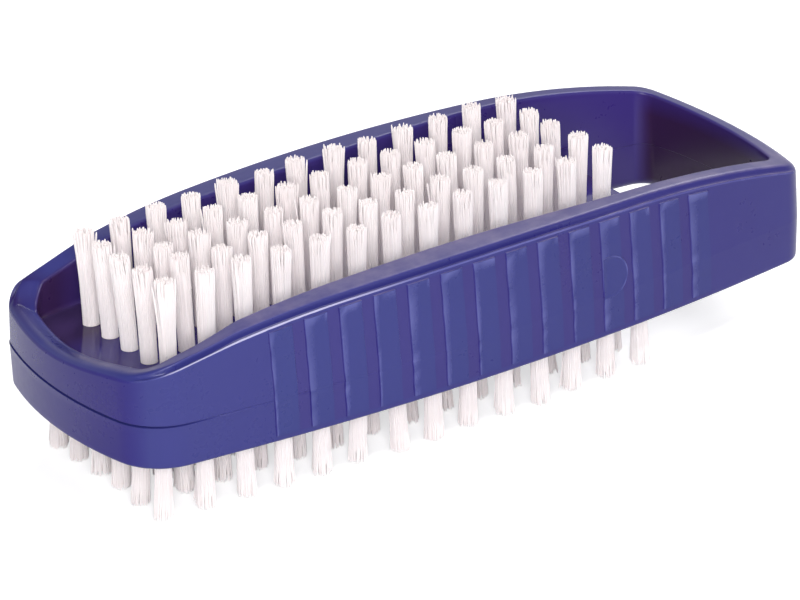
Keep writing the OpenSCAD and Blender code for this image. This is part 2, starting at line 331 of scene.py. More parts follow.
class Shape:
    """Collects grids and caps of one closed mesh; places are in millimetres."""

    def __init__(self):
        self.points, self.faces = [], []
        self.looks = dict(finish=[], edge=[], inner=[])

    def add(self, points, finish=0.0, edge=0.0, inner=1.0):
        start = len(self.points)
        points = np.asarray(points, float).reshape(-1, 3)
        self.points.extend(points.tolist())
        for key, value in (("finish", finish), ("edge", edge), ("inner", inner)):
            self.looks[key].extend(np.broadcast_to(value, (len(points),)).tolist())
        return np.arange(start, start + len(points))

    def grid(self, rows, closed, finishes=None, edges=None, inners=None):
        """Faces between rows of points; finishes, edges and inners hold a value per row."""
        finishes = finishes or [0.0] * len(rows)
        edges = edges or [0.0] * len(rows)
        inners = inners or [1.0] * len(rows)
        ids = [self.add(*row) for row in zip(rows, finishes, edges, inners)]
        n = len(ids[0])
        for a, b in zip(ids[:-1], ids[1:]):
            for i in range(n if closed else n - 1):
                j = (i + 1) % n
                self.faces.append([a[i], a[j], b[j], b[i]])
        return ids

    def flat(self, loop, holes, height, up):
        """A flat face inside loop, with round holes of one size, each (centre, ring)."""
        points = [Vector(p[:2]) for p in loop]
        edges = [(i, (i + 1) % len(loop)) for i in range(len(loop))]
        for _, ring in holes:
            start = len(points)
            points += [Vector(p[:2]) for p in ring]
            edges += [(start + i, start + (i + 1) % len(ring)) for i in range(len(ring))]
        found = delaunay_2d_cdt(points, edges, [], 1, 1e-7)
        ids = self.add([(p.x, p.y, height) for p in found[0]])
        outline = np.array([p[:2] for p in loop])
        centres = np.array([c for c, _ in holes])
        reach = np.linalg.norm(np.array(holes[0][1])[0][:2] - holes[0][0])
        for face in found[2]:
            middle = np.mean([found[0][i] for i in face], axis=0)
            in_hole = np.min(np.linalg.norm(centres - middle, axis=1)) < reach * 0.98
            if in_hole or not inside(middle, outline):
                continue
            face = list(face) if up else list(face)[::-1]
            self.faces.append([ids[i] for i in face])

    def mesh(self, name, weld=2e-4, sharp=28.0):
        """One closed mesh, smooth but for edges over sharp degrees."""
        mesh = bpy.data.meshes.new(name)
        mesh.from_pydata((np.array(self.points) * MM).tolist(), [], self.faces)
        for key, values in self.looks.items():
            layer = mesh.attributes.new(key, "FLOAT", "POINT")
            layer.data.foreach_set("value", np.array(values, np.float32))
        work = bmesh.new()
        work.from_mesh(mesh)
        bmesh.ops.remove_doubles(work, verts=work.verts, dist=weld * MM)
        bmesh.ops.dissolve_degenerate(work, dist=weld * MM, edges=work.edges)
        slivers = [edge for edge in work.edges if edge.is_boundary]
        bmesh.ops.holes_fill(work, edges=slivers, sides=4)
        bmesh.ops.recalc_face_normals(work, faces=work.faces)
        work.to_mesh(mesh)
        work.free()
        mesh.polygons.foreach_set("use_smooth", [True] * len(mesh.polygons))
        mesh.set_sharp_from_angle(angle=math.radians(sharp))
        return mesh


def inside(point, loop):
    """Whether a point lies inside a closed outline."""
    x, y = loop[:, 0], loop[:, 1]
    nx, ny = np.roll(x, -1), np.roll(y, -1)
    crosses = (y > point[1]) != (ny > point[1])
    with np.errstate(divide="ignore", invalid="ignore"):
        at = x + (point[1] - y) * (nx - x) / (ny - y)
    return bool(np.sum(crosses & (point[0] < at)) % 2)


def place(name, mesh, material, slot):
    """A piece of the scene that rides on the body and has its material slot."""
    piece = bpy.data.objects.new(name, mesh)
    bpy.context.scene.collection.objects.link(piece)
    mesh.materials.append(material)
    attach(piece, "root")
    return piece


def tuft_spots(side, row):
    """Places of one row's tufts, by the same rule as the solids follow."""
    first = side["first"] - SLOT_END
    last = PLATE_END - side["last"]
    x = np.linspace(first, last, side["columns"])
    y = side_y(x, WALL) * side["spread"] * (2 * row / (side["rows"] - 1) - 1)
    return np.c_[x, y]


def rib_spans():
    """Where each grip rib starts and ends along a long side."""
    first = -(RIB_COUNT - 1) * RIB_PITCH / 2 - RIB_WIDTH / 2
    starts = [first + i * RIB_PITCH for i in range(RIB_COUNT)]
    return [(start, start + RIB_WIDTH) for start in starts]


def side_columns(reach, meet):
    """Places along a long side, each with a rib share, a groove share and an edge number,
    which is -1 away from the ribs' edges."""
    spans = rib_spans()
    found = {}
    for i, (start, stop) in enumerate(spans):
        for number, edge, inward in ((2 * i, start, 1), (2 * i + 1, stop, -1)):
            for offset, share in EDGE_SHARES:
                found[edge + inward * offset] = (share, number)
    for x in np.linspace(-reach, reach, SIDE_STEPS + 1)[:-1]:
        if min(abs(x - e) for e in list(found) + [-meet, meet]) > COLUMN_GAP:
            found[x] = (1 if any(a < x < b for a, b in spans) else 0, -1)
    found[-meet] = found[meet] = (0, -1)
    listed = []
    for x in sorted(found):
        share, number = found[x]
        grooved = share == 0 and spans[0][0] < x < spans[-1][1]
        listed.append((x, share, -1 if grooved else 0, number))
    return listed


def ring_columns():
    """All columns of the ring: parts and shares, and arrays of rib and groove shares,
    edge numbers, and distance from the slot's corners, less than zero on the plate's side."""
    (reach, _), _ = touches(0, CORNER)
    (inner_reach, _), _ = touches(INNER, INNER_RADIUS)
    scale = reach / inner_reach
    columns, ribs, grooves, numbers, past = [], [], [], [], []
    back_numbers = 100
    far = 9.0
    for part in range(8):
        if part in (0, 4):
            for x, rib, groove, number in side_columns(reach, slot_meet() * scale):
                columns.append((part, (x + reach) / (2 * reach)))
                ribs.append(rib)
                grooves.append(groove)
                numbers.append(number + back_numbers if part == 4 and number >= 0 else number)
                along = x if part == 0 else -x
                past.append(along / scale - slot_meet())
        else:
            n = END_STEPS if part in (2, 6) else CORNER_STEPS
            columns += [(part, k / n) for k in range(n)]
            ribs += [0] * n
            grooves += [0] * n
            numbers += [-1] * n
            past += [far if part <= 3 else -far] * n
    return columns, np.array(ribs, float), np.array(grooves), np.array(numbers), np.array(past)


def slot_meet():
    """Where the slot's corner arc meets the inner face of a long side."""
    k = (SIDE_RADIUS - INNER) / (SIDE_RADIUS - INNER - SLOT_RADIUS)
    return (PLATE_END + SLOT_RADIUS) * k


def wave(place, height, number):
    """A steady waver of a moulded edge, between -1 and 1; each edge number has its own."""
    return (math.sin(1.7 * height + 2.4 * number) * 0.5
            + math.sin(3.9 * height + 1.3 * number + place) * 0.3
            + math.sin(9.1 * height + 5.7 * number) * 0.2)


def quarter(n):
    """Angles of a quarter turn in n steps."""
    return [math.pi / 2 * k / n for k in range(n + 1)]


def stepped(points, normals, past):
    """The inner face below its seam: set back a little, except at the slot's corners."""
    return points + normals * (INNER_STEP * smooth_step(np.abs(past) / STEP_FADE))[:, None]


def foot_rows(ring):
    """From the lower end of the inner face, round the foot, to the outer wall's foot."""
    columns, past = ring["columns"], ring["past"]
    fade = smooth_step(past / SLOT_FADE)
    radius = RIM_FILLET_FOOT + (SLOT_FOOT_FILLET - RIM_FILLET_FOOT) * fade
    inner, normal = plan(columns, INNER, INNER_RADIUS)
    inner = stepped(inner, normal, past)
    rows = [np.c_[inner, RIM_FOOT + FOOT_START + (radius - RIM_FILLET_FOOT) * FOOT_RAISE]]
    for a in quarter(FILLET_STEPS):
        move = radius * (1 - math.cos(a))
        height = RIM_FOOT + radius * (1 - math.sin(a))
        rows.append(np.c_[inner + normal * move[:, None], height])
    out, n_out = ring["outer"], ring["normal"]
    base = LOWER_DRAFT + parting_shape(out[:, 0])[0]
    for a in quarter(EDGE_STEPS):
        xy = out - n_out * (base + FOOT_FILLET * (1 - math.sin(a)))[:, None]
        height = RIM_FOOT + FOOT_FILLET * (1 - math.cos(a))
        rows.append(np.c_[xy, np.full(len(xy), height)])
    return rows


def end_share(x, start, stop):
    """1 toward the plate's end, falling to 0 from start to stop along the length."""
    return 1 - smooth_step((x - start) / (stop - start))


def parting_shape(x):
    """Step, groove and ridge of the parting: clear at the plate's end, fading along it."""
    close = end_share(x, *PARTING_CLEAR)
    along = end_share(x, *PARTING_FADE)
    step = PART_STEP * along * (1 - close) - END_PROUD * close
    groove = END_GROOVE * close + SIDE_GROOVE * along * (1 - close)
    ridge = SEAM_PROUD * along
    return step, np.maximum(groove, step / 2), ridge


def wall_levels(ring, top, rib_foot, rib_top):
    """Levels of the outer wall: height, how far the ribs stand out and how deep it is cut.
    Also the number of the level at the ribs' upper edge."""
    step, groove, ridge = parting_shape(ring["outer"][:, 0])
    flat = np.zeros(len(top))
    levels = [(rib_foot + offset + flat, share, step) for offset, share in EDGE_SHARES]
    levels += [(z + flat, 1, step) for z in (*WALL_LEVELS, PARTING - SEAM_TOP)]
    levels += [(PARTING + offset + flat, 1, cut) for offset, cut in
               ((-0.10, step - ridge), (-0.05, step - ridge), (0, groove), (0.10, groove),
                (0.18, flat), (SEAM_TOP, flat))]
    start = PARTING + SEAM_TOP
    levels += [(start + (rib_top - EDGE_GUARD - start) * share, 1, flat)
               for share in WALL_SHARES]
    rib_edge = len(levels)
    levels += [(rib_top - offset, share, flat) for offset, share in EDGE_SHARES[::-1]]
    foot_of_rim = top - profile(ring["led"])[0][1]
    levels += [(foot_of_rim - gap, 0, flat) for gap in (LEDGE_GAP, 0)]
    return levels, rib_edge


def wall_rows(ring):
    """The outer wall from the foot fillet to the rim, with ribs, grooves and parting."""
    ribs, numbers = ring["ribs"], ring["numbers"]
    x = ring["outer"][:, 0]
    top = rim_z(x) - DIP_OUTER * ring["dip"]
    rib_foot = RIM_FOOT + RIB_FOOT_GAP
    rib_top = top - RIB_TOP_GAP
    middle = (rib_foot + CROWN - RIB_TOP_GAP) / 2
    levels, rib_edge = wall_levels(ring, top, rib_foot, rib_top)
    left = (numbers >= 0) & (numbers % 2 == 0) & (ribs > 0.5)
    n = ring["normal"]
    sideways = np.c_[-n[:, 1], n[:, 0]]
    rows, finishes, edges = [], [], []
    for k, (z, share, cut) in enumerate(levels):
        below = np.clip((PARTING - z) / (PARTING - RIM_FOOT), 0, 1)
        above = np.clip((z - PARTING) / (CROWN - PARTING), 0, 1)
        lean = LOWER_DRAFT * below + UPPER_DRAFT * above
        rib = ribs * share
        inset = lean + cut * (1 - RIB_COVER * rib) - RIB_RELIEF * rib
        shift = np.array([EDGE_WAVER * wave(0, float(h), m) + RIB_TILT * (middle - h)
                          if m >= 0 else 0.0 for h, m in zip(z, numbers)])
        xy = ring["outer"] - n * inset[:, None] + sideways * shift[:, None]
        rows.append(np.c_[xy, z])
        finishes.append(rib + ring["grooves"] * (rib_foot < z) * (z < rib_top))
        # the edge values are painted highlights: on the ribs' left edges, along the rib tops' edge
        # row and on the ledge
        edge_glint = np.array([0.6 + 0.4 * wave(2, float(h) * 1.7, m) for h, m in zip(z, numbers)])
        edge = np.where(left & (share > 0.5), edge_glint, 0.0)
        if k == rib_edge:
            edge = ribs * (0.55 + 0.45 * np.sin(5.1 * x))
        if k == len(levels) - 1:
            edge = ring["ledge"]
        edges.append(edge)
    return rows, finishes, edges


def profile(led):
    """Inset and drop of the rim's outer part: a ledge and a cove below the band where led
    is 1, a plain round edge where it is 0."""
    ledge = [(inset, LEDGE_DROP + drop) for inset, drop in LEDGE_SHAPE]
    ledge += [(COVE_INSET + inset, COVE_DROP + drop) for inset, drop in COVE_SHAPE]
    ledge += [(BAND_START, BAND_ROUND + BAND_EDGE)]
    ledge += [(BAND_START + BAND_ROUND * (1 - math.cos(a)), BAND_ROUND * (1 - math.sin(a)))
              for a in quarter(EDGE_STEPS)]
    plain = [(END_ROUND * (1 - math.cos(a)), END_DROP * (1 - math.sin(a)))
             for a in quarter(len(ledge) - 1)]
    return [(led * p[0] + (1 - led) * q[0], led * p[1] + (1 - led) * q[1])
            for p, q in zip(ledge, plain)]


def dip_share(columns):
    """How far each column of the rim is lowered: fully at the back of the plate's end, less
    to its front, hardly on the sides."""
    (reach, _), _ = touches(0, CORNER)
    start, stop = DIP_FADE
    shares = []
    for part, share in columns:
        x = reach * (2 * share - 1) * (-1 if part == 4 else 1)
        if part in (0, 4):
            shares.append(DIP_SIDE * end_share(x, start - reach, stop - reach))
        elif part == 5:
            shares.append(DIP_SIDE + (1 - DIP_SIDE) * smooth_step(share))
        elif part == 6:
            fall = max(share - DIP_PLACE, 0) / (1 - DIP_PLACE)
            shares.append(1 - (1 - DIP_FRONT) * (fall + smooth_step(fall)) / 2)
        elif part == 7:
            shares.append(DIP_FRONT + (DIP_SIDE - DIP_FRONT) * smooth_step(share))
        else:
            shares.append(0)
    return np.array(shares, float)


def widening(x):
    """How much further the band's inner edge reaches in the middle of a long side."""
    return BAND_WIDEN * (1 - smooth_step(np.abs(x - WIDEN_X) / WIDEN_LENGTH))


def rounder(columns, points, normals, inset, radius):
    """The plan at this inset with a wider corner in front at the plate's end."""
    wide, n_wide = plan(columns, inset, radius)
    x, y = points.T
    share = smooth_step((ROUNDER_X - x) / ROUNDER_X_FADE)
    share = (share * smooth_step((ROUNDER_Y - y) / ROUNDER_Y_FADE))[:, None]
    normals = normals + (n_wide - normals) * share
    normals = normals / np.linalg.norm(normals, axis=1)[:, None]
    return points + (wide - points) * share, normals


def rim_rows(ring):
    """Over the rim: ledge, cove, band, inner fillet and down the inner face."""
    columns, out, n_out = ring["columns"], ring["outer"], ring["normal"]
    top = rim_z(out[:, 0]) - DIP_OUTER * ring["dip"]
    lean = UPPER_DRAFT * (top - PARTING) / (CROWN - PARTING)

    def height(xy, inset):
        share = np.clip(inset / (INNER - INNER_FILLET), 0, 1)
        dip = DIP_OUTER * ring["dip"] * (1 - share) + DIP_INNER * np.sqrt(ring["dip"]) * share
        return rim_z(xy[:, 0]) - dip

    rows = []
    for inset, drop in profile(ring["led"])[1:]:
        xy = out - n_out * (lean + inset)[:, None]
        rows.append(np.c_[xy, height(xy, lean + inset) - drop])
    foot, n_foot = plan(columns, INNER, INNER_RADIUS)
    inner, n_in = rounder(columns, foot, n_foot, INNER, RIM_RADIUS)
    wide = n_in * (widening(inner[:, 0]) * ring["led"])[:, None]
    edge = inner + n_in * INNER_FILLET - wide
    last = rows[-1][:, :2]
    start = inset + lean
    for share in BAND_SHARES:
        xy = last + (edge - last) * share
        rows.append(np.c_[xy, height(xy, start + (INNER - INNER_FILLET - start) * share)])
    for a in quarter(FILLET_STEPS):
        xy = inner + n_in * INNER_FILLET * (1 - math.sin(a)) - wide
        rows.append(np.c_[xy, height(xy, INNER) - INNER_FILLET * (1 - math.cos(a))])
    low = PLATE_TOP + FILLET_START
    start = rows[-1][:, 2]
    for share in FACE_SHARES:
        xy = foot * share + (inner - wide) * (1 - share)
        rows.append(np.c_[xy, start + (low - start) * share])
    return rows


def up_sign(up):
    """1 for the upper side, -1 for the lower one."""
    return 1 if up else -1


def plate_rows(ring, level, start, radius, up):
    """A fillet between the inner face and the plate, gone where the slot begins."""
    index = ring["plate"]
    inner, normal = plan([ring["columns"][i] for i in index], INNER, INNER_RADIUS)
    past = ring["past"][index]
    if not up:
        inner = stepped(inner, normal, past)
    size = radius * smooth_step(-past / STEP_FADE)
    rows = [np.c_[inner, np.full(len(inner), level + up_sign(up) * start)]]
    for a in quarter(FILLET_STEPS):
        xy = inner - normal * (size * (1 - math.cos(a)))[:, None]
        rows.append(np.c_[xy, level + up_sign(up) * size * (1 - math.sin(a))])
    return rows


def slot_rows(ring):
    """The inner face of the slot, from above the plate's level to above the foot."""
    index = ring["slot"]
    inner, normal = plan([ring["columns"][i] for i in index], INNER, INNER_RADIUS)
    past = ring["past"][index]
    fade = smooth_step(past / SLOT_FADE)
    lower = stepped(inner, normal, past)
    foot = RIM_FOOT + FOOT_START + (SLOT_FOOT_FILLET - RIM_FILLET_FOOT) * FOOT_RAISE * fade
    low = PLATE_LOW + fade * SLOT_LOW
    rows = [np.c_[inner, np.full(len(inner), z)] for z in (PLATE_TOP + FILLET_START, PLATE_TOP)]
    for z, begun in SLOT_LEVELS:
        rows.append(np.c_[lower if begun else inner, np.full(len(inner), z)])
    return rows + [np.c_[lower, low], np.c_[lower, foot]]


def plate_end_rows():
    """The plate's end face between the slot's corners, with rounded long edges."""
    cx = PLATE_END + SLOT_RADIUS
    cy = float(side_y(cx, INNER + SLOT_RADIUS))
    meet = slot_meet()
    reach = math.atan2(float(side_y(meet, INNER)) - cy, meet - cx)
    steps = SLOT_CORNER_STEPS
    arc = [reach + (math.pi - reach) * k / steps for k in range(steps + 1)]
    points = [(cx + SLOT_RADIUS * math.cos(a), -cy - SLOT_RADIUS * math.sin(a)) for a in arc]
    normals = [(-math.cos(a), math.sin(a)) for a in arc]
    for k in range(1, SLOT_END_STEPS):
        points.append((PLATE_END, -cy + 2 * cy * k / SLOT_END_STEPS))
        normals.append((1, 0))
    points += [(x, -y) for x, y in points[steps::-1]]
    normals += [(x, -y) for x, y in normals[steps::-1]]
    points, normals = np.array(points), np.array(normals)
    along = np.r_[0, np.cumsum(np.linalg.norm(np.diff(points, axis=0), axis=1))]
    size = PLATE_EDGE * smooth_step(np.minimum(along, along[-1] - along) / STEP_FADE)
    upper, lower = [], []
    for a in quarter(EDGE_STEPS):
        xy = points - normals * (size * (1 - math.sin(a)))[:, None]
        upper.append(np.c_[xy, PLATE_TOP - size * (1 - math.cos(a))])
        lower.append(np.c_[xy, PLATE_LOW + size * (1 - math.cos(a))])
    between = [np.c_[points, np.full(len(points), z)] for z, _ in SLOT_LEVELS]
    return upper + between + lower[::-1]


def socket(shape, centre, face, up):
    """A round socket with a lip, sunk in the plate; returns its outermost ring."""
    turns = [2 * math.pi * k / SOCKET_SIDES for k in range(SOCKET_SIDES)]

    def ring(radius, depth):
        return [(centre[0] + radius * math.cos(t), centre[1] + radius * math.sin(t),
                 face - up_sign(up) * depth) for t in turns]

    rows = [ring(radius, depth) for radius, depth in SOCKET_SHAPE]
    ids = shape.grid(rows, True)
    shape.faces.append([int(i) for i in ids[-1]])
    return rows[0]


def ledge_share(columns, x):
    """How clear the ledge is: full on the sides, fading around the corners and toward the
    slot's end."""
    share = [1 if p in (0, 4) else 0 if p in (2, 6) else t if p in (3, 7) else 1 - t
             for p, t in columns]
    fade = 1 - LEDGE_FADE * smooth_step(x / LEDGE_FADE_LENGTH)
    return smooth_step(np.array(share, float)) * fade


def whole_ring():
    """All that the ring's rows are made from: values for each column, and which columns lie
    along the slot and along the plate."""
    columns, ribs, grooves, numbers, past = ring_columns()
    outer, normal = rounder(columns, *plan(columns, 0, CORNER), 0, PLATE_CORNER)
    x, y = outer.T
    meets = [i for i in range(len(columns)) if abs(past[i]) < 1e-6]
    start = [i for i in meets if columns[i][0] == 0][-1]
    stop = [i for i in meets if columns[i][0] == 4][0]
    led = ledge_share(columns, x)
    # bright: a painted highlight line on the ledge, on the front only
    bright = end_share(x, *LEDGE_BRIGHT)
    bright = bright * smooth_step((x - LEDGE_BRIGHT_START) / LEDGE_BRIGHT_LENGTH)
    return dict(columns=columns, ribs=ribs, grooves=grooves, numbers=numbers, past=past,
                outer=outer, normal=normal, led=led, dip=dip_share(columns),
                ledge=led * (1 + bright * (y < 0)), slot=list(range(start, stop + 1)),
                plate=list(range(stop, len(columns))) + list(range(start + 1)))


def body_mesh():
    """The moulded body: ring, slot, plate and sockets as one closed mesh."""
    ring = whole_ring()
    shape = Shape()
    foot = foot_rows(ring)
    wall, finishes, edges = wall_rows(ring)
    rim = rim_rows(ring)
    turn = [k / FILLET_STEPS for k in range(FILLET_STEPS + 1)]
    first, last = [1] + turn[::-1], turn + [1] * len(FACE_SHARES)
    rows = foot + wall + rim
    # the edge values hold painted highlights; the rim's first row takes the ledge's
    shape.grid(rows, True, [0] * len(foot) + finishes + [0] * len(rim),
               [0] * len(foot) + edges + [ring["ledge"]] + [0] * (len(rim) - 1),
               first + [0] * (len(rows) - len(first) - len(last)) + last)
    shape.grid(slot_rows(ring), False)
    end = plate_end_rows()
    shape.grid(end, False)
    for level, begin, radius, up, side in (
            (PLATE_TOP, FILLET_START, PLATE_FILLET, True, UPPER),
            (PLATE_LOW, PLATE_LOW - RIM_FOOT - FOOT_START, RECESS_FILLET, False, LOWER)):
        rows = plate_rows(ring, level, begin, radius, up)
        shape.grid(rows, False)
        edge = end[0] if up else end[-1]
        loop = [tuple(p) for p in rows[-1]] + [tuple(p) for p in edge[1:-1]]
        spots = [s for row in range(side["rows"]) for s in tuft_spots(side, row)]
        holes = [(s, socket(shape, s, level, up)) for s in spots]
        shape.flat(loop, holes, level, up)
    return shape.mesh("brush_frame")


def mark_mesh():
    """The round moulding mark of the front wall: a thin disc, cut off at its rib's edge."""
    radius = SIDE_RADIUS + RIB_RELIEF + MARK_PROUD
    cut = [start for start, stop in rib_spans() if start < MARK_X < stop][0] + MARK_CUT
    shape = Shape()
    rows = []
    for inward, depth in MARK_SHAPE:
        r = MARK_RADIUS - inward
        left = cut + max(inward, 0) - MARK_X
        reach = math.acos(left / r)
        turns = [reach * (2 * k / MARK_TURNS - 1) for k in range(MARK_TURNS + 1)]
        flat = [(left, r * math.sin(reach) * (1 - 2 * k / MARK_CUT_STEPS))
                for k in range(1, MARK_CUT_STEPS)]
        row = []
        for dx, dz in [(r * math.cos(t), r * math.sin(t)) for t in turns] + flat:
            x, z = MARK_X + dx, MARK_Z + dz
            lean = UPPER_DRAFT * max(z - PARTING, 0) / (CROWN - PARTING)
            y = -math.sqrt((radius - depth - lean) ** 2 - x * x) - SIDE_CENTRE
            row.append((x, y, z))
        rows.append(row)
    turn = np.array(turns)
    # painted highlight on the disc's edge, strongest on the side toward the slot's end
    edge_glint = np.clip(np.cos(turn - 0.2), 0, 1) * (0.7 + 0.3 * np.sin(9 * turn))
    edge_glint = np.r_[edge_glint, np.zeros(MARK_CUT_STEPS - 1)]
    edges = [edge_glint if depth < 0 else 0 for _, depth in MARK_SHAPE]
    ids = shape.grid(rows, True, [1] * len(rows), edges, [0] * len(rows))
    shape.faces.append([int(i) for i in ids[0]])
    shape.faces.append([int(i) for i in ids[-1]][::-1])
    return shape.mesh("moulding_mark", sharp=50.0)


class Bundle:
    """Collects closed tubes of one row of tufts, each with its own shade."""

    def __init__(self):
        self.points, self.faces, self.shades, self.count = [], [], [], 0

    def tube(self, middle, radii, sides, turn, shade):
        """A closed tube along the points of middle; its shade may change along it."""
        angle = turn + 2 * math.pi * np.arange(sides) / sides
        ring = np.c_[np.cos(angle), np.sin(angle), np.zeros(sides)]
        radii = np.asarray(radii, float)
        points = middle[:, None, :] + ring[None, :, :] * radii[:, None, None]
        self.points.append(points.reshape(-1, 3))
        self.shades.append(np.repeat(np.broadcast_to(shade, (len(middle),)), sides))
        base, up = self.count, middle[-1][2] > middle[0][2]
        for a in range(len(middle) - 1):
            lower = base + a * sides
            for b in range(sides):
                c = (b + 1) % sides
                quad = [lower + b, lower + c, lower + sides + c, lower + sides + b]
                self.faces.append(quad if up else quad[::-1])
        first = [base + b for b in range(sides)]
        last = [base + (len(middle) - 1) * sides + b for b in range(sides)]
        self.faces += [first[::-1], last] if up else [first, last[::-1]]
        self.count += len(middle) * sides

    def mesh(self, name):
        mesh = bpy.data.meshes.new(name)
        points = np.concatenate(self.points) * MM
        mesh.from_pydata(points.tolist(), [], self.faces)
        mesh.attributes.new("shade", "FLOAT", "POINT").data.foreach_set(
            "value", np.concatenate(self.shades).astype(np.float32))
        mesh.polygons.foreach_set("use_smooth", [True] * len(self.faces))
        mesh.set_sharp_from_angle(angle=math.radians(TUBE_SHARP))
        return mesh


def flare(t):
    """How much wider a tuft is at this share of its length than at its foot."""
    return 1 + (TIP_FLARE - 1) * t ** 1.4


def tuft(bundle, rng, spot, face, end, lean, low, tone):
    """One tuft: a core, a ring of filaments around it, and more filaments near the tips."""
    sign = up_sign(end > face)
    foot, reach = face - sign * ROOT_DEPTH, abs(end - face) + ROOT_DEPTH

    def path(aside, levels, short, out, bend):
        t = np.array(levels)[:, None]
        xy = spot + aside * flare(t) + lean * t ** 1.3 + out * t ** 3 + bend * 4 * t * (1 - t)
        z = foot + sign * (reach - short) * t
        return np.c_[xy, z]

    size = CORE_RADIUS * flare(np.array(CORE_LEVELS)) * np.array(CORE_SIZES)
    core = path(np.zeros(2), CORE_LEVELS, low, 0, 0)
    # the core is a little darker than the filaments: painted shade deep in the tuft
    bundle.tube(core, size, CORE_SIDES, 0, 0.5 * tone - 0.3)
    phase = rng.uniform(0, 2 * math.pi)
    for i in range(RING + INNER_FILAMENTS):
        ringed = i < RING
        if ringed:
            r = RING_RADIUS + rng.normal(0, RING_NOISE)
            angle = phase + 2 * math.pi * i / RING
            levels = RING_LEVELS
        else:
            k = i - RING
            r = (RING_RADIUS - 0.1) * math.sqrt((k + 0.5) / INNER_FILAMENTS)
            angle = phase + k * GOLDEN
            levels = TIP_LEVELS
        angle += rng.normal(0, TURN_NOISE)
        aside = np.array([math.cos(angle), math.sin(angle)]) * r
        short = low + abs(rng.normal(0, SHORT_NOISE))
        if rng.random() < CUT_SHARE:
            short += rng.uniform(*CUT_RANGE)
        out = rng.normal(0, OUT_NOISE, 2)
        if ringed and rng.random() < STRAY_SHARE:
            out += aside / r * rng.uniform(*STRAY_RANGE)
        bend = rng.normal(0, BEND_NOISE, 2)
        middle = path(aside, levels, short, out, bend)
        radii = [FILAMENT_RADIUS] * (len(levels) - len(TIP_SIZES))
        radii += [FILAMENT_RADIUS * size for size in TIP_SIZES]
        shade = 0.5 * tone + 0.5 * rng.uniform(-1, 1)
        bundle.tube(middle, radii, FILAMENT_SIDES, rng.uniform(0, 6), shade)


def row_mesh(name, side, row, up, seed):
    """All tufts of one row."""
    rng = np.random.default_rng(seed)
    face = PLATE_TOP if up else PLATE_LOW
    end = TIP_TOP if up else TIP_LOW
    bundle = Bundle()
    for column, spot in enumerate(tuft_spots(side, row)):
        lean = rng.uniform(-TUFT_LEAN, TUFT_LEAN, 2)
        if column == 0:
            lean[0] -= FIRST_LEAN
        low, tone = rng.uniform(0, TUFT_SHORT), rng.uniform(-1, 1)
        tuft(bundle, rng, spot, face, end, lean, low, tone)
    return bundle.mesh(name)


class Nodes:
    """Short names for the nodes of one material or of the world."""

    def __init__(self, owner):
        owner.use_nodes = True
        self.owner = owner
        self.tree = owner.node_tree
        self.shader = self.tree.nodes.get("Principled BSDF")

    def put(self, kind, **settings):
        node = self.tree.nodes.new("ShaderNode" + kind)
        for key, value in settings.items():
            setattr(node, key, value)
        return node

    def link(self, a, b):
        self.tree.links.new(a, b)

    def feed(self, target, value):
        """Gives an input a link, a colour or a number."""
        if hasattr(value, "links"):
            self.link(value, target)
        elif isinstance(value, tuple):
            target.default_value = (*value, 1)
        else:
            target.default_value = value

    def set(self, **values):
        """Feeds inputs of the shader; an underscore stands for a space in their names."""
        for key, value in values.items():
            self.feed(self.shader.inputs[key.replace("_", " ")], value)

    def spot(self):
        return self.put("TexCoord").outputs["Object"]

    def attribute(self, name):
        return self.put("Attribute", attribute_name=name).outputs["Fac"]

    def split(self, vector):
        node = self.put("SeparateXYZ")
        self.link(vector, node.inputs[0])
        return node.outputs

    def number(self, operation, *values):
        node = self.put("Math", operation=operation)
        for target, value in zip(node.inputs, values):
            self.feed(target, value)
        return node.outputs[0]

    def times(self, a, b):
        return self.number("MULTIPLY", a, b)

    def mapped(self, value, low, high, to_low=0, to_high=1):
        node = self.put("MapRange")
        for key, number in (("Value", value), ("From Min", low), ("From Max", high),
                            ("To Min", to_low), ("To Max", to_high)):
            self.feed(node.inputs[key], number)
        return node.outputs[0]

    def noise(self, where, scale, detail=3.0, rough=0.55):
        node = self.put("TexNoise")
        for key, value in (("Vector", where), ("Scale", scale), ("Detail", detail),
                           ("Roughness", rough)):
            self.feed(node.inputs[key], value)
        return node.outputs["Fac"]

    def blend(self, share, a, b):
        node = self.put("Mix", data_type="RGBA")
        for target, value in ((node.inputs[0], share), (node.inputs[6], a), (node.inputs[7], b)):
            self.feed(target, value)
        return node.outputs[2]

    def bump(self, height, distance, strength=1.0, normal=None):
        node = self.put("Bump")
        for key, value in (("Strength", strength), ("Distance", distance), ("Height", height)):
            self.feed(node.inputs[key], value)
        if normal is not None:
            self.link(normal, node.inputs["Normal"])
        return node.outputs["Normal"]


# tones of the plastic; pairs are at the plate's end and toward the slot's end, where the second,
# darker tone is painted shade.
# places in the materials are in metres
WALL_TONES = (0.036, 0.039, 0.203), (0.025, 0.020, 0.170)
RIB_TONES = (0.033, 0.042, 0.200), (0.023, 0.028, 0.176)
GROOVE_TONES = (0.039, 0.032, 0.190), (0.028, 0.018, 0.160)
CLOUD_TONE = (0.040, 0.040, 0.215)
END_WALL_SHADE = (0.017, 0.007, 0.174)
END_RIM_SHADE = (0.026, 0.008, 0.072)
RIM_SHEEN_TONE = (0.24, 0.20, 0.34)
INNER_SHADE_TONE = (0.053, 0.030, 0.212)
INNER_END_SHADE = (0.038, 0.014, 0.062)
PLATE_BACK_SHADE, PLATE_FRONT_TONE = (0.052, 0.030, 0.106), (0.050, 0.036, 0.205)
EDGE_HIGHLIGHT = (0.16, 0.17, 0.46)
LEDGE_HIGHLIGHT = (0.58, 0.56, 0.78)
FINISH_SHARE = 0.9
INNER_SHADE_SHARE = 0.85


